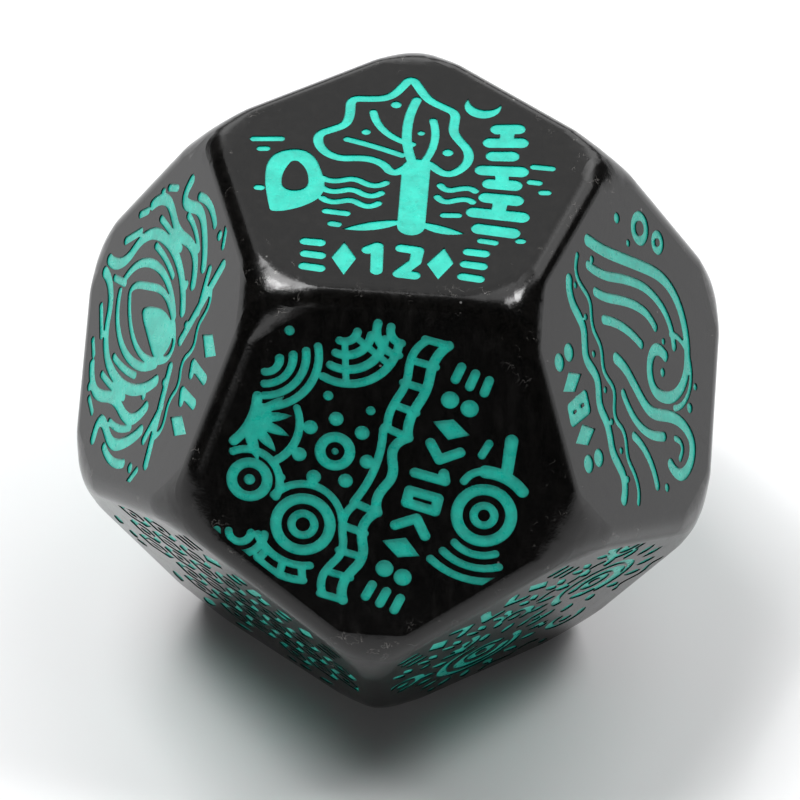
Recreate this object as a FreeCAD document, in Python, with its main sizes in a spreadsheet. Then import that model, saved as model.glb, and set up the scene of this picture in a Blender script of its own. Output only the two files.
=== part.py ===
import FreeCAD, Part
import math
import os

# A twelve-sided gaming die: one moulded body with rounded edges and corners, whose faces are
# engraved, and the paint that fills each engraving.  Millimetres, +Z up.  The origin is the
# middle of the face that the die rests on, and the front face leans back from -Y.

Vector = FreeCAD.Vector

# ---------------------------------------------------------------- driving dimensions

DRIVING = [
    ("across_flats", 20.0),       # between two opposite faces
    ("corner_radius", 12.06),     # ball that the corners are worn down to
    ("edge_rounding", 0.9),       # fillet along the straight edges
    ("corner_rounding", 1.8),     # fillet where the ball meets the faces, round each corner
    ("engraving_depth", 0.34),    # from the face to the floor of an engraved line
    ("paint_recess", 0.05),       # from the face down to the top of the paint
]

doc = FreeCAD.newDocument("PolyhedralDie")
sheet = doc.addObject("Spreadsheet::Sheet", "Dimensions")
for row, (alias, value) in enumerate(DRIVING, start=1):
    sheet.set("A%d" % row, alias)
    sheet.set("B%d" % row, "%g" % value)
    sheet.setAlias("B%d" % row, alias)
doc.recompute()

inradius = sheet.across_flats / 2
centre = Vector(0, 0, inradius)
unit = inradius / 10              # the drawings are laid out for a die 20 mm across flats

# ---------------------------------------------------------------- where the faces are

LEAN = math.atan(2)               # angle between the normals of two neighbouring faces


def ring_normal(turn, upper):
    """Normal of a side face, turned about Z from +X by so many degrees."""
    side = Vector(math.cos(math.radians(turn)), math.sin(math.radians(turn)), 0)
    rise = math.cos(LEAN) if upper else -math.cos(LEAN)
    return side * math.sin(LEAN) + Vector(0, 0, rise)


NORMALS = {
    "top": Vector(0, 0, 1),
    "front": ring_normal(-90, True),
    "right": ring_normal(-18, True),
    "back_right": ring_normal(54, True),
    "back_left": ring_normal(126, True),
    "left": ring_normal(198, True),
    "low_front_right": ring_normal(-54, False),
    "low_right": ring_normal(18, False),
    "low_back": ring_normal(90, False),
    "low_left": ring_normal(162, False),
    "low_front_left": ring_normal(-126, False),
    "bottom": Vector(0, 0, -1),
}


def face_placement(face, foot):
    """Put a drawing on a face, with the foot of the drawing towards a neighbouring face."""
    normal = NORMALS[face]
    towards_foot = NORMALS[foot] - normal * NORMALS[foot].dot(normal)
    up = towards_foot.normalize() * -1
    turn = FreeCAD.Rotation(up.cross(normal), up, normal, "XYZ")
    return FreeCAD.Placement(centre + normal * inradius, turn)


# ---------------------------------------------------------------- kinds of engraved mark
# Each returns one flat face in the plane of the drawing, in the drawing's millimetres.

THIN = 0.25
FINE = 0.30
LINE = 0.36
BOLD = 0.46
HAND_SWAY = 0.06                  # how far a drawn point strays from its exact place
PATH_TOLERANCE = 0.02             # how far the arcs of a flowing line may leave it


def at(x, y):
    """A point of a drawing, moved a little, so that the drawing looks made by hand."""
    sway_x = HAND_SWAY * math.sin(1.9 * y + 0.7 * x)
    sway_y = HAND_SWAY * math.sin(2.3 * x - 0.6 * y)
    return Vector((x + sway_x) * unit, (y + sway_y) * unit, 0)


def polar(x, y, radius, degrees):
    angle = math.radians(degrees)
    return (x + radius * math.cos(angle), y + radius * math.sin(angle))


def dot(x, y, radius):
    circle = Part.Circle(at(x, y), Vector(0, 0, 1), radius * unit)
    return Part.Face(Part.Wire(circle.toShape()))


def ring(x, y, radius, width=LINE):
    """A circle drawn with a round-tipped cutter."""
    return dot(x, y, radius + width / 2).cut(dot(x, y, radius - width / 2)).Faces[0]


def arc(x, y, radius, start, end, width=LINE):
    """Part of a circle, from one angle to another in degrees, with round ends."""
    middle = (start + end) / 2
    outer, inner = radius + width / 2, radius - width / 2
    edges = [
        Part.Arc(*[at(*polar(x, y, outer, turn)) for turn in (start, middle, end)]),
        Part.Arc(*[at(*polar(x, y, inner, turn)) for turn in (start, middle, end)]),
    ]
    for turn, side in ((start, -1), (end, 1)):
        tip_x, tip_y = polar(x, y, radius, turn)
        tip = polar(tip_x, tip_y, width / 2, turn + side * 90)
        ends = [at(*polar(x, y, outer, turn)), at(*tip), at(*polar(x, y, inner, turn))]
        edges.append(Part.Arc(*ends))
    return Part.Face(Part.Wire(Part.sortEdges([edge.toShape() for edge in edges])[0]))


def bar(start, end, width=LINE):
    """One straight stroke with round ends."""
    turn = math.degrees(math.atan2(end[1] - start[1], end[0] - start[0]))
    corners = [at(*polar(*tip, width / 2, turn + side)) for tip in (start, end) for side in (90, -90)]
    caps = [at(*polar(*start, width / 2, turn + 180)), at(*polar(*end, width / 2, turn))]
    edges = [
        Part.makeLine(corners[0], corners[2]),
        Part.Arc(corners[2], caps[1], corners[3]).toShape(),
        Part.makeLine(corners[3], corners[1]),
        Part.Arc(corners[1], caps[0], corners[0]).toShape(),
    ]
    return Part.Face(Part.Wire(edges))


def line(points, width=LINE):
    """Straight runs with round corners; a line that comes back to its start is closed."""
    if len(points) == 2:
        return bar(points[0], points[1], width)
    path = Part.makePolygon([at(*point) for point in points])
    half = width * unit / 2
    if points[0] != points[-1]:
        return Part.Face(path.makeOffset2D(half, 0, False, False))
    outer = Part.Face(path.makeOffset2D(half, 0))
    inner = Part.Face(path.makeOffset2D(-half, 2))
    return outer.cut(inner).Faces[0]


def flowing_path(points, closed=False):
    """A smooth path through some points, made of arcs that run into one another."""
    spline = Part.BSplineCurve()
    spline.interpolate(Points=[at(*point) for point in points], PeriodicFlag=closed)
    return Part.Wire([piece.toShape() for piece in spline.toBiArcs(PATH_TOLERANCE * unit)])


def curve(points, width=LINE):
    """A flowing line through some points, with round ends."""
    return Part.Face(flowing_path(points).makeOffset2D(width * unit / 2, 0, False, False))


def loop(points, width=LINE):
    """A flowing closed line through some points."""
    path = flowing_path(points, closed=True)
    half = width * unit / 2
    outer = Part.Face(path.makeOffset2D(half, 0))
    inner = Part.Face(path.makeOffset2D(-half, 0))
    return outer.cut(inner).Faces[0]


def patch(points):
    """A flowing outline through some points, filled."""
    return Part.Face(flowing_path(points, closed=True))


def leaf(x, y, degrees, length, breadth):
    """A filled leaf from its stalk at x, y, bounded by two arcs."""
    middle = polar(x, y, length / 2, degrees)
    sides = [polar(middle[0], middle[1], breadth / 2, degrees + side) for side in (90, -90)]
    tip = at(*polar(x, y, length, degrees))
    edges = [Part.Arc(at(x, y), at(*side), tip).toShape() for side in sides]
    return Part.Face(Part.Wire(edges))


def diamond(x, y, half_width, half_height):
    corners = [(x - half_width, y), (x, y - half_height), (x + half_width, y), (x, y + half_height)]
    return Part.Face(Part.makePolygon([at(*corner) for corner in corners + corners[:1]]))


def crescent(x, y, radius, bite, degrees):
    """A moon: a disc less a slightly smaller disc that is shifted by the bite."""
    other = polar(x, y, bite, degrees)
    return dot(x, y, radius).cut(dot(other[0], other[1], radius * 0.95)).Faces[0]


def ripple(start, end, height, bends, width=THIN):
    """A wavy line from one point to another."""
    points = []
    for step in range(bends + 1):
        share = step / bends
        x = start[0] + (end[0] - start[0]) * share
        y = start[1] + (end[1] - start[1]) * share
        points.append((x, y + height * (-1) ** step))
    return curve(points, width)


def arcs(x, y, radii, start, end, width=FINE):
    return [arc(x, y, radius, start, end, width) for radius in radii]


def dots_around(x, y, distance, count, radius, start=0, end=360):
    """Evenly spaced dots round a point."""
    step = (end - start) / count
    return [dot(*polar(x, y, distance, start + step * turn), radius) for turn in range(count)]


def rays(x, y, inner, outer, count, width=FINE, start=0, end=360):
    """Evenly spaced straight strokes that point away from a middle."""
    step = (end - start) / count
    turns = [start + step * turn for turn in range(count)]
    return [line([polar(x, y, inner, turn), polar(x, y, outer, turn)], width) for turn in turns]


def mirrored(faces):
    """The same marks and their mirror images on the other side of the drawing's middle line."""
    return faces + [face.mirror(Vector(0, 0, 0), Vector(1, 0, 0)) for face in faces]


# ---------------------------------------------------------------- numeral bands
# A numeral between plain geometric marks, set in a row like the letters of a bold word.

DIGITS = {
    "0": [[(0, 0), (1, 0), (1, 2), (0, 2), (0, 0)]],
    "1": [[(0.0, 1.7), (0.55, 2), (0.55, 0)]],
    "2": [[(0, 2), (1, 2), (1, 1.1), (0, 0), (1, 0)]],
    "3": [[(0, 2), (1, 2), (1, 0), (0, 0)], [(0.3, 1), (1, 1)]],
    "4": [[(0.1, 2), (0, 0.8), (1, 0.8)], [(1, 2), (1, 0)]],
    "5": [[(1, 2), (0, 2), (0, 1.1), (1, 1.1), (1, 0), (0, 0)]],
    "6": [[(0, 0), (1, 0), (1, 1.1), (0, 1.1), (0, 0)], [(1, 2), (0, 2), (0, 1.1)]],
    "7": [[(0, 2), (1, 2), (0.35, 0)]],
    "8": [[(0, 0), (1, 0), (1, 2), (0, 2), (0, 0)], [(0, 1), (1, 1)]],
    "9": [[(0, 0.9), (1, 0.9), (1, 2), (0, 2), (0, 0.9)], [(1, 0.9), (1, 0), (0, 0)]],
}
# These shares are all of the height of the band.
BAND_STROKE = 0.26
DASH_STROKE = 0.23
CELL_PITCH = 0.66                 # from one mark to the next
HALF_WIDTH = 0.165                # from the middle of a mark to its upright strokes
DIAMOND_HALF_WIDTH = 0.27
DOT_RADIUS = 0.22
DOT_RISE = 0.25
UNDERLINE_DROP = 0.8
UNDERLINE_HALF = 0.26


def numeral(kind, x, y, half_width, half_height, width):
    """A digit's strokes, centred on x, y."""
    strokes = []
    for run in DIGITS[kind]:
        points = [(x + (2 * across - 1) * half_width, y + (up - 1) * half_height) for across, up in run]
        strokes.append(line(points, width))
    return strokes


def glyph(kind, x, y, height):
    """One mark of a band, centred on x, y: a digit, dashes, a diamond, two dots or an arrowhead."""
    width = BAND_STROKE * height
    wide, tall = HALF_WIDTH * height, (height - width) / 2
    if kind in DIGITS:
        return numeral(kind, x, y, wide, tall, width)
    if kind == "=":
        rows = [y - tall, y, y + tall]
        return [line([(x - wide, row), (x + wide, row)], DASH_STROKE * height) for row in rows]
    if kind == "*":
        return [diamond(x, y, DIAMOND_HALF_WIDTH * height, height / 2)]
    if kind == ":":
        return [dot(x, y + side * DOT_RISE * height, DOT_RADIUS * height) for side in (-1, 1)]
    tip = wide if kind == ">" else -wide
    return [line([(x - tip, y + tall), (x + tip, y), (x - tip, y - tall)], width)]


def band(marks, x, y, height, underline=False):
    """A row of marks, centred on x, y."""
    faces = []
    pitch = CELL_PITCH * height
    first = x - pitch * (len(marks) - 1) / 2
    for place, kind in enumerate(marks):
        faces += glyph(kind, first + pitch * place, y, height)
    if underline:
        below, half = y - UNDERLINE_DROP * height, UNDERLINE_HALF * height
        faces.append(line([(x - half, below), (x + half, below)], THIN))
    return faces


# ---------------------------------------------------------------- pictures

def night_garden():
    """A lobed tree between a hollow stone and a cairn, under a new moon."""
    crown = [(-0.6, 0.5), (-1.5, 0.9), (-2.6, 1.0), (-3.2, 2.1), (-2.2, 2.8), (-2.1, 4.1), (-1.0, 4.2),
             (-0.1, 5.3), (0.7, 4.2), (1.5, 3.6), (1.6, 2.6), (2.3, 1.5), (1.4, 0.4), (0.5, 0.9)]
    marks = [loop(crown), line([(0.35, 0.6), (0.4, -2.45)], 1.0), crescent(2.55, 4.15, 0.66, 0.46, 75)]
    marks += [leaf(0.3, -2.2, 195, 2.3, 0.5), leaf(0.5, -2.2, -15, 1.9, 0.45)]
    marks += [curve([(0.3, 0.6), (0.0, 2.2), (0.1, 4.3)])]
    marks += [curve([(0.2, 1.9), (-0.8, 2.4), (-1.3, 3.4)], FINE)]
    marks += [curve([(-0.2, 1.3), (-1.3, 1.6), (-2.2, 1.9)], FINE)]
    marks += [curve([(0.6, 0.9), (1.0, 1.9), (0.8, 3.2)], FINE)]
    marks += [dot(-0.6, 3.9, 0.2), dot(-1.5, 2.3, 0.17), dot(1.5, 1.5, 0.2), dot(0.5, 2.5, 0.14)]
    stone = patch([(-4.5, -2.0), (-4.9, -0.4), (-4.5, 0.9), (-3.6, 1.2), (-2.9, 0.3), (-3.1, -1.5)])
    hollow = patch([(-4.0, -0.9), (-4.2, 0.0), (-3.8, 0.6), (-3.4, 0.1), (-3.5, -0.8)])
    marks += [stone.cut(hollow).Faces[0]]
    cairn = [(3.0, 0.35), (2.25, 0.5), (1.5, 0.3), (0.75, 0.7), (0.0, 0.45), (-0.75, 0.5),
             (-1.55, 0.8), (-2.4, 0.6)]
    marks += [line([(3.45 - half, y), (3.45 + half, y)], 0.58) for y, half in cairn]
    marks += [line([(3.45, y), (3.45, y + 0.4)], 0.5) for y in (2.4, 0.1, -1.5)]
    marks += [ripple((-2.8, y), (-0.5 + y * 0.2, y), 0.08, 4, FINE) for y in (-0.3, -0.85, -1.4)]
    marks += [ripple((1.3, y), (2.5, y), 0.08, 3, FINE) for y in (-0.3, -0.9)]
    wisps = [(-5.4, 1.65, 0.9), (-5.1, 1.1, 0.2), (-5.1, -1.0, 0.1), (4.6, 1.1, 0.6), (4.5, 0.3, 0.3),
             (4.9, -0.2, 0.2), (-2.6, -2.0, 0.7), (-2.3, -2.6, 0.2), (2.9, -3.0, 0.5), (4.3, -2.8, 0.1),
             (1.6, -1.7, 0.5)]
    return marks + [line([(x, y), (x + long, y)], FINE) for x, y, long in wisps]


def net(start, end, drop, cells, width=FINE):
    """Two wavy ropes, one below the other, joined by a rung between every two cells."""
    below_start, below_end = (start[0], start[1] - drop), (end[0], end[1] - drop)
    marks = [ripple(start, end, 0.1, cells, LINE), ripple(below_start, below_end, 0.1, cells, width)]
    for step in range(cells + 1):
        x = start[0] + (end[0] - start[0]) * step / cells
        y = start[1] + (end[1] - start[1]) * step / cells
        marks.append(line([(x, y), (x, y - drop)], width))
    return marks


def reef():
    """Anemone, shells and fans below a net, with a small sun above the band."""
    marks = net((-5.0, 0.45), (-1.4, 0.35), 0.75, 4) + net((1.5, 0.35), (5.1, 0.45), 0.75, 4)
    marks += [ripple((-1.4, 0.35), (1.5, 0.35), 0.12, 4, LINE)]
    marks += [curve([(-1.3, -0.4), (0, -0.2), (1.4, -0.4)], FINE)]
    marks += [ring(0, -1.75, 0.52, 0.38), dot(0, -1.75, 0.13)]
    marks += dots_around(0, -1.75, 1.2, 7, 0.26, 90, 450)
    marks += [ring(3.0, -1.85, 0.95, 0.4), ring(3.0, -1.85, 0.4, FINE)]
    marks += [arc(3.0, -1.85, 1.5, 120, 240, FINE)]
    marks += [arc(3.0, -1.85, 1.5, -55, 35, FINE), arc(3.0, -1.85, 2.0, -30, 25, FINE)]
    marks += rays(3.0, -1.85, 1.5, 2.0, 3, FINE, -28, 50)
    marks += [ring(2.1, -4.15, 0.62, 0.38), dot(2.1, -4.15, 0.2), arc(2.1, -4.15, 1.1, 80, 230, FINE)]
    marks += arcs(-4.2, -2.9, (0.45, 0.92, 1.4, 1.88), -5, 100)
    marks += rays(-4.2, -2.9, 0.45, 1.88, 2, THIN, 20, 130)
    marks += arcs(-2.25, -5.0, (0.42, 0.86, 1.3, 1.74), 12, 128)
    marks += [leaf(0.1, -5.0, turn, 1.6, 0.4) for turn in (38, 64, 90, 116, 142)]
    marks += [arc(0.1, -4.9, 1.75, 55, 125, FINE), curve([(-0.9, -4.95), (0.1, -4.8), (1.0, -5.05)])]
    marks += arcs(3.95, -3.7, (0.4, 0.85), -70, 100) + arcs(-5.0, -1.1, (0.45, 0.9), -80, 15)
    marks += [dot(-1.85, -1.1, 0.17), dot(-1.8, -2.6, 0.18), dot(1.55, -3.05, 0.15)]
    marks += [dot(-3.55, -4.75, 0.18)]
    marks += [ring(0.2, 4.0, 0.95, 0.42), ring(0.2, 4.0, 0.36, FINE)]
    marks += arcs(0.2, 4.0, (1.5, 2.0, 2.5), -28, 32) + [arc(0.2, 4.0, 1.55, 148, 205, BOLD)]
    marks += [line([(-2.6, 3.9), (-1.5, 4.1)], BOLD), line([(-2.2, 3.2), (-1.7, 3.05)], FINE)]
    marks += [curve([(-1.2, 3.3), (-1.0, 3.0), (-0.6, 2.85)], FINE)]
    return marks


def camp_fire():
    """Tongues of flame inside one another over crossed logs."""
    half = [curve([(-0.2, 5.6), (-1.0, 4.2), (-2.3, 3.3), (-2.8, 1.7), (-2.4, 0.1), (-1.4, -1.3)], BOLD)]
    half += [curve([(-0.3, 3.9), (-1.3, 2.9), (-1.8, 1.6), (-1.6, 0.4), (-0.9, -0.8)])]
    half += [curve([(-3.2, 3.9), (-3.9, 2.6), (-3.4, 1.3), (-3.4, 0.0), (-2.5, -1.4)], BOLD)]
    half += [curve([(-5.2, 1.7), (-4.4, 1.5), (-4.6, 0.4), (-4.1, -0.9), (-3.3, -1.6)], BOLD)]
    half += [curve([(-5.0, 0.6), (-5.2, -0.3), (-4.8, -1.3)])]
    half += [curve([(-2.25, 2.5), (-2.25, 1.3), (-1.95, 0.3)], FINE)]
    half += [curve([(-3.15, 2.9), (-3.2, 2.0), (-2.95, 0.6)], FINE)]
    half += [curve([(-4.1, 0.9), (-4.0, 0.2), (-3.6, -0.7)], FINE)]
    half += [line([(-1.4, 4.9), (-2.1, 4.1)], LINE), line([(-2.6, 4.6), (-2.9, 4.1)], FINE)]
    half += [line([(-4.3, 3.1), (-4.6, 2.5)], FINE), line([(-3.9, -2.9), (-0.6, -2.0)], BOLD)]
    half += [line([(-3.4, -2.1), (-1.9, -2.45)], LINE), line([(-5.0, -2.2), (-4.4, -2.4)], FINE)]
    half += [dot(-3.9, 3.4, 0.2), dot(-4.6, -1.9, 0.2), dot(-2.2, -0.9, 0.2), dot(-1.2, -1.9, 0.16)]
    marks = mirrored(half)
    marks += [patch([(0.0, -1.4), (-0.8, -0.6), (-0.6, 0.5), (0.05, 1.7), (0.55, 0.6), (0.8, -0.5)])]
    marks += [loop([(0.0, 3.1), (-0.95, 1.8), (-1.15, 0.2), (0.0, -1.7), (1.15, 0.2), (0.95, 1.8)], FINE)]
    marks += [line([(-0.1, 4.7), (0.1, 3.8)], FINE), ripple((-2.9, -2.95), (2.9, -2.95), 0.12, 8)]
    return marks


def breaker():
    """A curling wave with foam, over a band of shallow water."""
    crest = [(-5.0, -0.9), (-4.0, 0.3), (-2.9, 2.2), (-1.4, 3.7), (0.6, 4.0), (2.0, 2.9), (2.0, 1.5),
             (1.0, 0.8), (0.2, 1.5), (0.7, 2.2)]
    follower = [(-0.5, -1.0), (0.6, -0.4), (1.9, 0.3), (3.0, 1.9), (4.2, 2.4), (4.9, 1.5), (4.3, 0.7)]
    marks = [curve(crest, BOLD), curve(follower, BOLD)]
    marks += [curve([(-4.2, -1.2), (-3.0, 0.4), (-1.9, 2.2), (-0.6, 3.0), (0.6, 3.0)])]
    marks += [curve([(-3.2, -1.2), (-2.1, 0.4), (-1.2, 1.7), (-0.5, 2.1)])]
    marks += [curve([(-2.1, -1.2), (-1.2, 0.1), (-0.4, 0.9)])]
    marks += [curve([(0.8, -1.2), (2.3, -0.5), (3.2, 0.7)])]
    marks += [curve([(2.4, -1.2), (3.6, -0.6), (4.5, -0.5)])]
    marks += [arc(1.3, 2.35, 1.35, -15, 150, THIN), curve([(3.6, 1.4), (4.0, 1.7), (4.35, 1.4)], THIN)]
    marks += [ripple((-4.1, -2.75), (4.1, -2.75), 0.13, 9, BOLD)]
    marks += [ripple((-4.7, -1.9), (4.6, -1.9), 0.13, 11)]
    marks += [dot(0.2, 2.4, 0.13), dot(2.9, 3.0, 0.2), dot(2.4, 3.7, 0.14)]
    marks += [dot(x, -2.33, 0.13) for x in (-3.8, -2.6, -1.3, 0.1, 1.3, 2.5, 3.6)]
    marks += [ring(-4.1, 2.7, 0.45), ring(-3.1, 3.7, 0.3, FINE)]
    marks += [dot(-4.9, 1.4, 0.2), dot(-3.9, 1.7, 0.14)]
    marks += [dot(1.15, 1.7, 0.17), dot(2.7, -0.1, 0.15), dot(-4.3, -0.9, 0.15), dot(4.9, 0.1, 0.16)]
    return marks


def honeycomb():
    """Rows of six-sided cells, each with a plain mark inside, narrowing towards the top."""
    cell, row_pitch, column_pitch = 0.64, 1.4, 1.64
    marks = []
    for row, count in enumerate((6, 7, 6, 5, 2)):
        y = -2.4 + row * row_pitch
        for column in range(count):
            x = (column - (count - 1) / 2) * column_pitch
            corners = [polar(x, y, cell, turn) for turn in range(30, 390, 60)]
            fillings = [dot(x, y, 0.24), diamond(x, y, 0.2, 0.3), leaf(x - 0.25, y - 0.15, 32, 0.6, 0.26)]
            marks.append(line(corners + corners[:1], FINE))
            marks.append(fillings[(row + 2 * column) % len(fillings)])
    marks += mirrored([leaf(-1.9, 4.3, 60, 1.2, 0.5), leaf(-5.1, 2.0, 70, 1.0, 0.45)])
    marks += mirrored([dot(-3.5, 3.5, 0.24), leaf(-4.3, 2.6, 60, 0.9, 0.4)])
    return marks + [leaf(0, 4.4, 90, 1.4, 0.6)]


def lily_pond():
    """Lily pads ringed by ripples and petals, above a row of reeds."""
    marks = []
    for x, y, turn in ((-2.75, 0.55, 20), (2.35, 1.25, 200)):
        marks += [ring(x, y, 0.42, LINE), arc(x, y, 0.98, turn, turn + 300, BOLD)]
        marks += [arc(x, y, 1.55, turn + 60, turn + 340, LINE)]
        for angle in range(turn, turn + 360, 24):
            marks.append(leaf(*polar(x, y, 1.9, angle), angle, 0.9, 0.46))
    for x, y, turn in ((0.0, -1.55, 100), (-0.5, 3.9, 280), (4.9, -0.9, 60)):
        marks += [dot(x, y, 0.27), arc(x, y, 0.68, turn, turn + 250, LINE)]
    for step in range(18):
        lean = 8 if step % 2 else -8
        marks.append(leaf(-4.6 + step * 0.54, -3.25, 90 + lean, 0.95, 0.36))
    marks += arcs(-5.1, -1.9, (0.35, 0.8), -60, 120, LINE) + arcs(2.3, -1.75, (0.3, 0.75), 20, 190, LINE)
    marks += [ripple((-4.9, 3.1), (-2.6, 3.8), 0.12, 4), ripple((1.1, 4.6), (3.4, 4.1), 0.12, 4)]
    marks += [ripple((-3.9, -2.0), (-1.3, -2.0), 0.1, 4, FINE), dot(0.2, 2.8, 0.2)]
    marks += [dot(-0.25, 1.0, 0.22), dot(4.9, 2.6, 0.2), dot(3.7, -1.9, 0.22), dot(1.1, 5.6, 0.2)]
    return marks


def toadstools():
    """Three toadstools with spotted caps among grass."""
    marks = []
    cap = [(-1.0, 0.0), (-1.9, 0.1), (-1.7, 1.3), (0.0, 2.5), (1.7, 1.3), (1.9, 0.1), (1.0, 0.0),
           (0.0, 0.25)]
    spots = [(0, 1.5), (-0.95, 0.8), (0.95, 0.8)]
    ground = -2.6
    for x, y, size in ((0.0, 1.4, 1.0), (-3.0, -0.3, 0.66), (2.9, 0.0, 0.7)):
        marks.append(loop([(x + px * size, y + py * size) for px, py in cap]))
        marks += [dot(x + px * size, y + py * size, 0.27 * size) for px, py in spots]
        for half in (-size, size):
            neck = (x + half * 0.5, y - 0.1)
            waist = (x + half * 0.45, (y + ground) / 2)
            foot = (x + half * 0.75, ground)
            marks.append(curve([neck, waist, foot]))
        marks.append(line([(x, y - 0.5), (x, -1.9)], THIN))
    marks += rays(-1.55, -3.0, 0.5, 1.4, 4, THIN, 60, 150) + rays(1.5, -3.0, 0.5, 1.4, 4, THIN, 60, 150)
    marks += [ripple((-4.3, -2.8), (4.3, -2.8), 0.1, 8, BOLD)]
    marks += mirrored([dot(-3.6, 2.6, 0.2), ring(-2.6, 3.7, 0.3, THIN), dot(-4.7, 1.2, 0.15)])
    return marks


def fish():
    """A scaly fish among bubbles and weed."""
    outline = [(-3.6, 1.0), (-2.2, 2.5), (0.0, 2.9), (2.0, 1.9), (3.0, 1.0), (2.0, 0.1), (0.0, -0.8),
               (-2.3, -0.5)]
    marks = [loop(outline)]
    marks += [loop([(3.4, 1.0), (4.8, 2.4), (4.5, 1.0), (4.8, -0.4)], FINE)]
    marks += [ring(-2.3, 1.4, 0.4, FINE), arc(-3.2, 1.0, 1.9, -42, 42, FINE)]
    for column in range(4):
        for row in range(3 - column // 2):
            y = 1.0 + (row - (2 - column // 2) / 2) * 0.95
            marks.append(arc(-0.6 + column * 0.8, y, 0.42, -80, 80, THIN))
    marks += [curve([(-0.9, 3.2), (0.2, 4.3), (1.5, 3.2)]), line([(0.3, 3.2), (0.3, 3.8)], THIN)]
    for x in (-3.9, -3.0, -0.4, 0.5, 2.6, 3.5):
        marks.append(curve([(x, -2.6), (x - 0.35, -1.9), (x + 0.1, -1.3)], FINE))
    marks += [ripple((-4.4, -2.85), (4.4, -2.85), 0.12, 9, LINE)]
    marks += [ring(-4.3, 2.6, 0.33, THIN), ring(-3.2, 3.5, 0.42, THIN)]
    marks += [dot(-4.9, 1.5, 0.16), dot(-2.2, 4.2, 0.16), dot(-1.9, -1.7, 0.2), dot(1.6, -1.8, 0.2)]
    return marks


def mountains():
    """Two peaks with hatched slopes, a rising sun and a cloud, over rows of ripples."""
    marks = [line([(-4.9, -1.6), (-2.1, 2.4), (-0.5, 0.3), (1.4, 3.4), (4.8, -1.6)], 0.4)]
    for step in range(3):
        marks.append(line([(-2.1, 1.6), (-2.6 + step * 0.25, 0.9 - step)], THIN))
        hatch_top = (-1.8 + step * 0.5, 1.2 - step * 0.7)
        marks.append(line([hatch_top, (hatch_top[0] - 0.6, -0.5 - step * 0.3)], FINE))
        reach, y = 5.0 - step * 0.3, -1.9 - step * 0.55
        marks.append(ripple((-reach, y), (reach, y), 0.11, 9, FINE))
    for step in range(4):
        hatch_top = (1.5 + step * 0.55, 2.5 - step * 0.8)
        marks.append(line([hatch_top, (0.9 + step * 0.6, 0.4 - step * 0.7)], FINE))
    marks += [arc(-0.6, 1.6, 1.0, 20, 160), dot(-0.6, 1.6, 0.3)]
    marks += rays(-0.6, 1.6, 1.5, 2.4, 6, FINE, 42, 162)
    marks += [curve([(2.5, 3.6), (3.0, 4.1), (3.5, 3.7), (4.0, 3.5)], FINE)]
    marks += [curve([(-4.6, 1.6), (-4.0, 2.1), (-3.4, 1.7)], FINE)]
    marks += [dot(4.5, 1.3, 0.18), dot(3.9, 2.2, 0.14)]
    return marks


def snow_crystal():
    """A six-armed snow crystal with side branches."""
    middle_y = 0.9
    marks = [ring(0, middle_y, 0.75), dot(0, middle_y, 0.3)]
    for arm in range(6):
        turn = 30 + arm * 60
        marks.append(line([polar(0, middle_y, 0.8, turn), polar(0, middle_y, 3.7, turn)]))
        for reach, long in ((1.7, 0.75), (2.7, 0.85)):
            start = polar(0, middle_y, reach, turn)
            marks += [line([start, polar(*start, long, turn + lean)], FINE) for lean in (-60, 60)]
        marks.append(diamond(*polar(0, middle_y, 2.2, turn + 30), 0.26, 0.4))
        marks.append(dot(*polar(0, middle_y, 3.3, turn + 30), 0.18))
    marks += mirrored([dot(-4.6, -1.0, 0.2), dot(-4.6, 2.3, 0.16)])
    return marks


def blossom():
    """An open flower with two rounds of petals and a pair of leaves."""
    middle_y = 0.8
    marks = [ring(0, middle_y, 0.62), dot(0, middle_y, 0.2)]
    for turn in range(0, 360, 45):
        between = turn + 22.5
        marks.append(leaf(*polar(0, middle_y, 1.0, between), between, 1.5, 0.75))
        tip = polar(0, middle_y, 3.0, turn)
        marks.append(arc(*tip, 0.62, turn - 125, turn + 125, FINE))
        marks.append(dot(*tip, 0.15))
    marks += mirrored([leaf(-1.6, -2.7, 150, 2.2, 0.7), leaf(-4.0, 1.2, 120, 1.5, 0.45)])
    marks += mirrored([dot(-4.9, 0.2, 0.18)])
    return marks


def full_sun():
    """A sun with short and long rays."""
    middle_y = 0.9
    marks = [ring(0, middle_y, 1.35, BOLD), ring(0, middle_y, 0.72, FINE), dot(0, middle_y, 0.28)]
    for turn in range(0, 360, 30):
        long = 2.0 if turn % 60 else 1.5
        marks.append(leaf(*polar(0, middle_y, 1.95, turn), turn, long, 0.55))
        marks.append(dot(*polar(0, middle_y, 2.55, turn + 15), 0.16))
    marks += mirrored(arcs(-3.6, -2.3, (0.35, 0.75), 100, 260) + [dot(-4.7, -1.1, 0.15)])
    return marks


# ---------------------------------------------------------------- which drawing goes where
# number, face, neighbour at the foot of the drawing, picture, marks of the band, and the
# band's middle and height in the drawing.  Numbers on opposite faces add up to thirteen.

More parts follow.
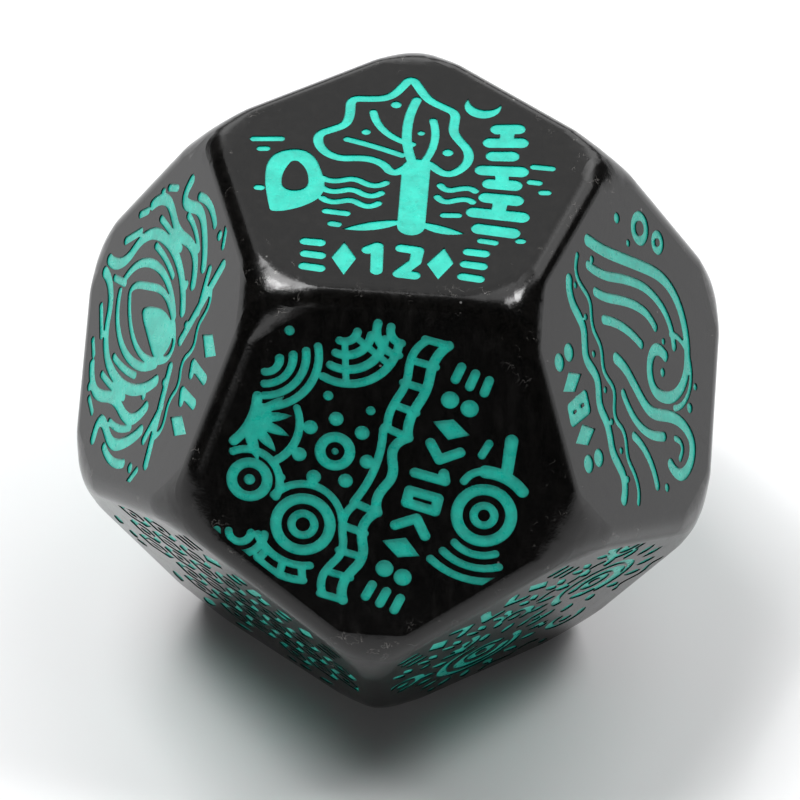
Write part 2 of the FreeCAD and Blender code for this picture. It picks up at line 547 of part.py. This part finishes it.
FACES = [
    (12, "top", "front", night_garden, "=*12*=", -0.05, -4.25, 1.7),
    (10, "front", "left", reef, "=:*>10<*:=", 0.1, 1.75, 1.45),
    (8, "right", "front", breaker, ":*8*:", 0.1, -4.25, 1.5),
    (11, "left", "front", camp_fire, "*11*", -0.2, -4.15, 1.6),
    (7, "low_front_right", "front", lily_pond, "=*>7<*=", 0.2, -4.2, 1.6),
    (4, "low_front_left", "front", honeycomb, "=*:4:*=", 0.0, -4.2, 1.6),
    (9, "back_right", "right", toadstools, "=*9*=", 0.0, -4.1, 1.5),
    (6, "back_left", "left", fish, "=*6*=", 0.0, -4.1, 1.5),
    (5, "low_left", "left", mountains, "*:5:*", 0.0, -4.2, 1.6),
    (3, "low_back", "back_right", snow_crystal, "=*3*=", 0.0, -4.2, 1.6),
    (2, "low_right", "right", blossom, ">*2*<", 0.0, -4.2, 1.6),
    (1, "bottom", "low_front_right", full_sun, "=*1*=", 0.0, -4.2, 1.6),
]
UNDERLINED = (6, 9)

FACE_MARGIN = 0.7                 # plain border between the drawing and the edge of a face


def drawing_area():
    """The five-sided part of a face that may be engraved."""
    reach = inradius * math.tan(LEAN / 2) - FACE_MARGIN * unit
    corner_reach = reach / math.cos(math.radians(36))
    corners = []
    for turn in range(5):
        angle = math.radians(72 * turn)
        corners.append(Vector(math.sin(angle), math.cos(angle), 0) * corner_reach)
    return Part.Face(Part.makePolygon(corners + corners[:1]))


def merged(faces, area):
    """Marks that cross or touch become one outline, cut off at the edge of the area."""
    joined = faces[0].multiFuse(faces[1:]) if len(faces) > 1 else faces[0]
    outline = Part.makeShell(joined.Faces).removeSplitter()
    return outline.common(area)


# ---------------------------------------------------------------- die body

def slab(name, normal):
    """The space between two opposite faces."""
    box = doc.addObject("Part::Box", name)
    box.setExpression("Length", "Dimensions.across_flats * 2")
    box.setExpression("Width", "Dimensions.across_flats * 2")
    box.setExpression("Height", "Dimensions.across_flats")
    turn = FreeCAD.Rotation(Vector(0, 0, 1), normal)
    corner = Vector(-2 * inradius, -2 * inradius, -inradius)
    box.Placement = FreeCAD.Placement(centre + turn.multVec(corner), turn)
    return box


ball = doc.addObject("Part::Sphere", "CornerBall")
ball.setExpression("Radius", "Dimensions.corner_radius")
ball.Placement = FreeCAD.Placement(centre, FreeCAD.Rotation())

blank = doc.addObject("Part::MultiCommon", "SharpBlank")
slab_faces = ("top", "front", "right", "back_right", "back_left", "left")
blank.Shapes = [ball] + [slab("Slab_" + face, NORMALS[face]) for face in slab_faces]
doc.recompute()

rounded = doc.addObject("Part::Fillet", "RoundedBlank")
rounded.Base = blank
fillets = []
for number, edge in enumerate(blank.Shape.Edges, start=1):
    straight = edge.Curve.TypeId == "Part::GeomLine"
    radius = sheet.edge_rounding if straight else sheet.corner_rounding
    fillets.append((number, radius, radius))
rounded.Edges = fillets

# ---------------------------------------------------------------- engravings and paint


def extruded(name, profile, inwards, top, bottom):
    """The solid between two depths below the face, each given as an expression."""
    solid = doc.addObject("Part::Extrusion", name)
    solid.Base = profile
    solid.DirMode = "Custom"
    solid.Dir = inwards
    solid.Solid = True
    solid.setExpression("LengthFwd", bottom)
    solid.setExpression("LengthRev", "-1 * " + top if top else "0")
    return solid


def engrave(label, placement, marks, area):
    """Add one drawing: its outline, the tool that cuts it and the paint that fills it."""
    profile = doc.addObject("Part::Feature", label + "_outline")
    profile.Shape = merged(marks, area)
    profile.Placement = placement
    inwards = placement.Rotation.multVec(Vector(0, 0, -1))
    cutter = extruded(label + "_cutter", profile, inwards, "", "Dimensions.engraving_depth")
    paint = extruded(label + "_paint", profile, inwards, "Dimensions.paint_recess",
                     "Dimensions.engraving_depth")
    paint.Label = label + "_paint"
    return cutter, paint


area = drawing_area()
cutters = []
paints = []
for number, face, foot, picture, marks, band_x, band_y, band_height in FACES:
    placement = face_placement(face, foot)
    numeral_marks = band(marks, band_x, band_y, band_height, number in UNDERLINED)
    for kind, drawing in (("picture", picture()), ("numeral", numeral_marks)):
        cutter, paint = engrave("face_%02d_%s" % (number, kind), placement, drawing, area)
        cutters.append(cutter)
        paints.append(paint)

cutting = doc.addObject("Part::Compound", "AllEngravings")
cutting.Links = cutters

body = doc.addObject("Part::Cut", "die_body")
body.Label = "die_body"
body.Base = rounded
body.Tool = cutting

# ---------------------------------------------------------------- check and write

doc.recompute()

for item in doc.Objects:
    if "Invalid" in item.State or "Error" in item.State:
        raise RuntimeError("%s did not compute" % item.Label)

os.makedirs("parts", exist_ok=True)
for piece in [body] + paints:
    if piece.Shape.isNull() or not piece.Shape.isValid():
        raise RuntimeError("%s has no valid shape" % piece.Label)
    piece.Shape.exportStep("parts/%s.step" % piece.Label)
    print(piece.Label, len(piece.Shape.Solids), "solids", round(piece.Shape.Volume, 3), "mm3")
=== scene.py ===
import math

import bpy
from mathutils import Matrix, Vector


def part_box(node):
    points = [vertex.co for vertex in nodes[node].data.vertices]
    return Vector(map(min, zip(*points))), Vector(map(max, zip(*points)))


# The visual model of a twelve-sided die: the CAD body and its paint keep their meshes, and this
# script gives them their materials, the floor, the studio light and the camera.  Metres, +Z up.

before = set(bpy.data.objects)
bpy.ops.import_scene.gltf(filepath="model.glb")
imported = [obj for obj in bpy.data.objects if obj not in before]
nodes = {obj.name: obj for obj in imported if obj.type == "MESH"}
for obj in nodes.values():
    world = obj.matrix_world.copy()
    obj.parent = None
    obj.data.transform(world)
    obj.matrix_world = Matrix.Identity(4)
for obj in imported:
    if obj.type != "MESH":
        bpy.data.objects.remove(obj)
bpy.context.view_layer.update()

MM = 0.001
low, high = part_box("die_body")
inradius = (high.z - low.z) / 2            # from the middle of the die to a face
centre = Vector((0, 0, low.z + inradius))

# Linear colours and refractive indices of the surfaces.
PLASTIC_IOR = 1.46
PLASTIC_DEEP = (0.0006, 0.0006, 0.0005)
PLASTIC_STREAK = (0.0034, 0.0030, 0.0026)
PLASTIC_GRAIN = (0.0060, 0.0057, 0.0054)
DUST = (0.16, 0.16, 0.155)
SCUFF = (0.20, 0.19, 0.18)
PAINT_IOR = 1.65
PAINT_DEEP = (0.004, 0.46, 0.36)
PAINT_FULL = (0.010, 0.63, 0.49)
PAINT_WORN = (0.003, 0.34, 0.26)
PAINT_FLECK = (0.10, 0.80, 0.66)
FLOOR_TONES = ((0.86, 0.86, 0.87), (0.88, 0.88, 0.885))

STREAK_TURN = (0.4, 0.2, 0.7)              # radians, so that streaks follow no face or edge
STREAK_STRETCH = (1.0, 1.0, 0.10)          # features ten times as long in one direction
CORNER_REACH = (11.45, 11.75)              # mm from the middle: where scuffs begin, and are full


# ---------------------------------------------------------------- node helpers

def new_material(name):
    """A material with its node tree and its shader."""
    material = bpy.data.materials.new(name)
    material.use_nodes = True
    tree = material.node_tree
    return material, tree, tree.nodes["Principled BSDF"]


def add(tree, kind, **settings):
    """A node of a kind, with some of its settings or input values."""
    node = tree.nodes.new(kind)
    for name, value in settings.items():
        if name in node.bl_rna.properties:
            setattr(node, name, value)
        else:
            node.inputs[name.replace("_", " ")].default_value = value
    return node


def place(tree):
    """Positions on the object in its own metres."""
    return add(tree, "ShaderNodeTexCoord").outputs["Object"]


def noise(tree, per_mm, detail=3.0, roughness=0.5, stretch=None):
    """Noise with so many features to a millimetre, which a stretch draws out into streaks."""
    texture = add(tree, "ShaderNodeTexNoise", Scale=per_mm / MM, Detail=detail, Roughness=roughness)
    where = place(tree)
    if stretch:
        mapping = add(tree, "ShaderNodeMapping")
        mapping.inputs["Scale"].default_value = stretch
        mapping.inputs["Rotation"].default_value = STREAK_TURN
        tree.links.new(where, mapping.inputs["Vector"])
        where = mapping.outputs["Vector"]
    tree.links.new(where, texture.inputs["Vector"])
    return texture.outputs["Fac"]


def remap(tree, source, low_in, high_in, low_out, high_out):
    """A value moved from one range to another, and held at its ends."""
    node = add(tree, "ShaderNodeMapRange")
    limits = {"From Min": low_in, "From Max": high_in, "To Min": low_out, "To Max": high_out}
    for name, value in limits.items():
        node.inputs[name].default_value = value
    tree.links.new(source, node.inputs["Value"])
    return node.outputs["Result"]


def blend(tree, share, first, second):
    """A colour between two, which may be sockets or plain colours."""
    node = add(tree, "ShaderNodeMix", data_type="RGBA")
    tree.links.new(share, node.inputs["Factor"])
    for name, colour in (("A", first), ("B", second)):
        socket = [item for item in node.inputs if item.name == name and item.type == "RGBA"][0]
        if isinstance(colour, tuple):
            socket.default_value = colour + (1.0,)
        else:
            tree.links.new(colour, socket)
    return [item for item in node.outputs if item.type == "RGBA"][0]


def bump(tree, height, distance_mm, strength, normal=None):
    """A normal raised by a height, on top of another normal if there is one."""
    node = add(tree, "ShaderNodeBump", Strength=strength, Distance=distance_mm * MM)
    tree.links.new(height, node.inputs["Height"])
    if normal is not None:
        tree.links.new(normal, node.inputs["Normal"])
    return node.outputs["Normal"]


# ---------------------------------------------------------------- materials

def specks(tree, per_mm, radius):
    """White where a few small dots are scattered, black elsewhere; the radius is in dot spacings."""
    dots = add(tree, "ShaderNodeTexVoronoi", feature="F1", Scale=per_mm / MM, Randomness=1.0)
    tree.links.new(place(tree), dots.inputs["Vector"])
    return remap(tree, dots.outputs["Distance"], radius, radius * 0.6, 0.0, 1.0)


def multiply(tree, first, second):
    """Two masks together."""
    node = add(tree, "ShaderNodeMath", operation="MULTIPLY")
    tree.links.new(first, node.inputs[0])
    tree.links.new(second, node.inputs[1])
    return node.outputs[0]


def near_corners(tree):
    """White on the corners, which are the farthest from the middle of the die, black on the faces."""
    reach = add(tree, "ShaderNodeVectorMath", operation="DISTANCE")
    tree.links.new(place(tree), reach.inputs[0])
    reach.inputs[1].default_value = centre
    begin, full = (distance * MM for distance in CORNER_REACH)
    return remap(tree, reach.outputs["Value"], begin, full, 0.0, 1.0)


def scuffs(tree):
    """Short, thin, curled scratches, in patches on the corners where a die hits the table.

    The scratches are one contour of a noise, so they are thinnest where it is steepest.
    """
    height = noise(tree, 2.2, 3.0, 0.6)
    below = remap(tree, height, 0.475, 0.485, 0.0, 1.0)
    above = remap(tree, height, 0.485, 0.495, 1.0, 0.0)
    patches = remap(tree, noise(tree, 1.2, 3.0), 0.58, 0.64, 0.0, 1.0)
    where = multiply(tree, patches, near_corners(tree))
    return multiply(tree, multiply(tree, below, above), where)


def black_plastic():
    """Moulded black plastic: soft gloss, fine grain, streaks from tumbling, scuffed corners, dust."""
    material, tree, shader = new_material("black_plastic")
    link = tree.links.new
    mottle = noise(tree, 0.35, 4.0)
    grain = noise(tree, 11.0, 2.0, 0.7)
    streaks = noise(tree, 2.4, 4.0, 0.65, stretch=STREAK_STRETCH)
    streaked = blend(tree, remap(tree, streaks, 0.40, 0.66, 0.0, 1.0), PLASTIC_DEEP, PLASTIC_STREAK)
    grained = blend(tree, remap(tree, grain, 0.42, 0.70, 0.0, 0.8), streaked, PLASTIC_GRAIN)
    dusty = blend(tree, specks(tree, 0.6, 0.032), grained, DUST)
    link(blend(tree, scuffs(tree), dusty, SCUFF), shader.inputs["Base Color"])
    rough = add(tree, "ShaderNodeMath", operation="ADD")
    link(remap(tree, mottle, 0.3, 0.7, 0.14, 0.18), rough.inputs[0])
    link(remap(tree, streaks, 0.50, 0.75, 0.0, 0.08), rough.inputs[1])
    link(rough.outputs[0], shader.inputs["Roughness"])
    peel = bump(tree, noise(tree, 0.9, 2.0), 0.02, 0.12)
    link(bump(tree, grain, 0.008, 0.45, peel), shader.inputs["Normal"])
    shader.inputs["IOR"].default_value = PLASTIC_IOR
    return material


def teal_paint():
    """Infill paint: teal, satin, uneven in tone where it was wiped, with small pits and pale flecks."""
    material, tree, shader = new_material("teal_paint")
    link = tree.links.new
    cloud = remap(tree, noise(tree, 1.3, 5.0, 0.65), 0.35, 0.68, 0.0, 1.0)
    tone = blend(tree, cloud, PAINT_DEEP, PAINT_FULL)
    worn = remap(tree, noise(tree, 4.0, 4.0, 0.7), 0.56, 0.72, 0.0, 0.55)
    darker = blend(tree, worn, tone, PAINT_WORN)
    fleck = remap(tree, noise(tree, 9.0, 2.0, 0.6), 0.64, 0.76, 0.0, 0.45)
    link(blend(tree, fleck, darker, PAINT_FLECK), shader.inputs["Base Color"])
    link(remap(tree, noise(tree, 3.0, 3.0), 0.3, 0.7, 0.24, 0.40), shader.inputs["Roughness"])
    soft = bump(tree, noise(tree, 2.2, 3.0), 0.03, 0.45)
    link(bump(tree, noise(tree, 8.0, 3.0), 0.012, 0.5, soft), shader.inputs["Normal"])
    shader.inputs["IOR"].default_value = PAINT_IOR
    return material


def matt_floor():
    """A pale, smooth table top, very finely uneven."""
    material, tree, shader = new_material("pale_floor")
    link = tree.links.new
    link(blend(tree, noise(tree, 0.05, 3.0), *FLOOR_TONES), shader.inputs["Base Color"])
    link(remap(tree, noise(tree, 0.2, 2.0), 0.3, 0.7, 0.42, 0.5), shader.inputs["Roughness"])
    link(bump(tree, noise(tree, 3.0, 3.0), 0.01, 0.2), shader.inputs["Normal"])
    return material


body_plastic = black_plastic()
infill_paint = teal_paint()
for name, node in nodes.items():
    material = body_plastic if name == "die_body" else infill_paint
    for slot in node.material_slots:
        slot.material = material

# ---------------------------------------------------------------- floor and light

HALF_FLOOR = 1.5
FLOOR_GAP = 0.00001                        # keeps the floor from showing through the resting face


def plain_floor():
    """A level square, just under the face that the die rests on."""
    corners = [(across * HALF_FLOOR, along * HALF_FLOOR, 0)
               for across, along in ((-1, -1), (1, -1), (1, 1), (-1, 1))]
    mesh = bpy.data.meshes.new("floor")
    mesh.from_pydata(corners, [], [(0, 1, 2, 3)])
    mesh.materials.append(matt_floor())
    floor = bpy.data.objects.new("floor", mesh)
    floor.location.z = low.z - FLOOR_GAP
    bpy.context.scene.collection.objects.link(floor)
    return floor


plain_floor()


def towards(azimuth, elevation):
    """A direction from the die: degrees round from the viewer to the right, and degrees up."""
    round_by, up_by = math.radians(azimuth), math.radians(elevation)
    return Vector((math.sin(round_by) * math.cos(up_by), -math.cos(round_by) * math.cos(up_by),
                   math.sin(up_by)))


def soft_light(name, azimuth, elevation, distance, width, height, brightness):
    """A rectangular lamp aimed at the die; its watts follow from how bright it looks."""
    lamp = bpy.data.lights.new(name, "AREA")
    lamp.shape = "RECTANGLE"
    lamp.size = width
    lamp.size_y = height
    lamp.energy = brightness * math.pi * width * height
    piece = bpy.data.objects.new(name, lamp)
    out = towards(azimuth, elevation)
    piece.location = centre + out * distance
    piece.rotation_euler = out.to_track_quat("Z", "Y").to_euler()
    bpy.context.scene.collection.objects.link(piece)


# The walls behind give the top face its even grey, the boxes behind light the floor and throw
# the shadow forwards, the left and right boxes make the highlights on the front corners, and the
# fill lights the paint in front.
LAMPS = [
    # name, azimuth, elevation, distance, width, height, brightness
    ("back_low", 180, 18, 1.0, 1.20, 0.34, 1.5),
    ("back_wall", 180, 47, 1.0, 1.20, 0.62, 0.80),
    ("back_left_box", 230, 64, 0.8, 0.32, 0.32, 9.4),
    ("back_right_box", 135, 34, 0.8, 0.55, 0.30, 1.8),
    ("back_right_high_box", 140, 68, 0.8, 0.32, 0.32, 1.8),
    ("left_box", 260, 61, 0.6, 0.15, 0.15, 21.0),
    ("right_box", 103, 57, 0.6, 0.13, 0.13, 24.0),
    ("front_fill", 335, 24, 0.9, 0.40, 0.25, 1.7),
]
for settings in LAMPS:
    soft_light(*settings)

WORLD_COLOUR = (0.02, 0.02, 0.02, 1)       # the studio round the lamps is nearly dark

world = bpy.data.worlds.new("studio")
world.use_nodes = True
world.node_tree.nodes["Background"].inputs["Color"].default_value = WORLD_COLOUR
bpy.context.scene.world = world
bpy.context.scene.view_settings.view_transform = "Standard"

# ---------------------------------------------------------------- camera

AZIMUTH = 3.38                     # degrees round from -Y towards +X
ELEVATION = 44.38
ROLL = 1.476
DISTANCE = 18.109                  # of the inradius, from the middle of the die
ASIDE = (-0.0064, 0.0653)          # of the inradius: how far the die sits from the middle of the view
LENS = 222.57                      # mm, long as for product photos
SENSOR_WIDTH = 36                  # mm
NEAREST = 0.005                    # m


def photo_camera():
    """The camera of the photo: above the front face, a little to the right and slightly rolled."""
    back = towards(AZIMUTH, ELEVATION)
    azimuth, roll = math.radians(AZIMUTH), math.radians(ROLL)
    level = Vector((math.cos(azimuth), math.sin(azimuth), 0))
    upright = back.cross(level)
    right = level * math.cos(roll) + upright * math.sin(roll)
    up = upright * math.cos(roll) - level * math.sin(roll)
    eye = centre + (back * DISTANCE - right * ASIDE[0] - up * ASIDE[1]) * inradius
    data = bpy.data.cameras.new("camera")
    data.lens = LENS
    data.sensor_width = SENSOR_WIDTH
    data.clip_start = NEAREST
    camera = bpy.data.objects.new("camera", data)
    turn = Matrix((right, up, back)).transposed().to_4x4()
    camera.matrix_world = Matrix.Translation(eye) @ turn
    bpy.context.scene.collection.objects.link(camera)
    bpy.context.scene.camera = camera


photo_camera()
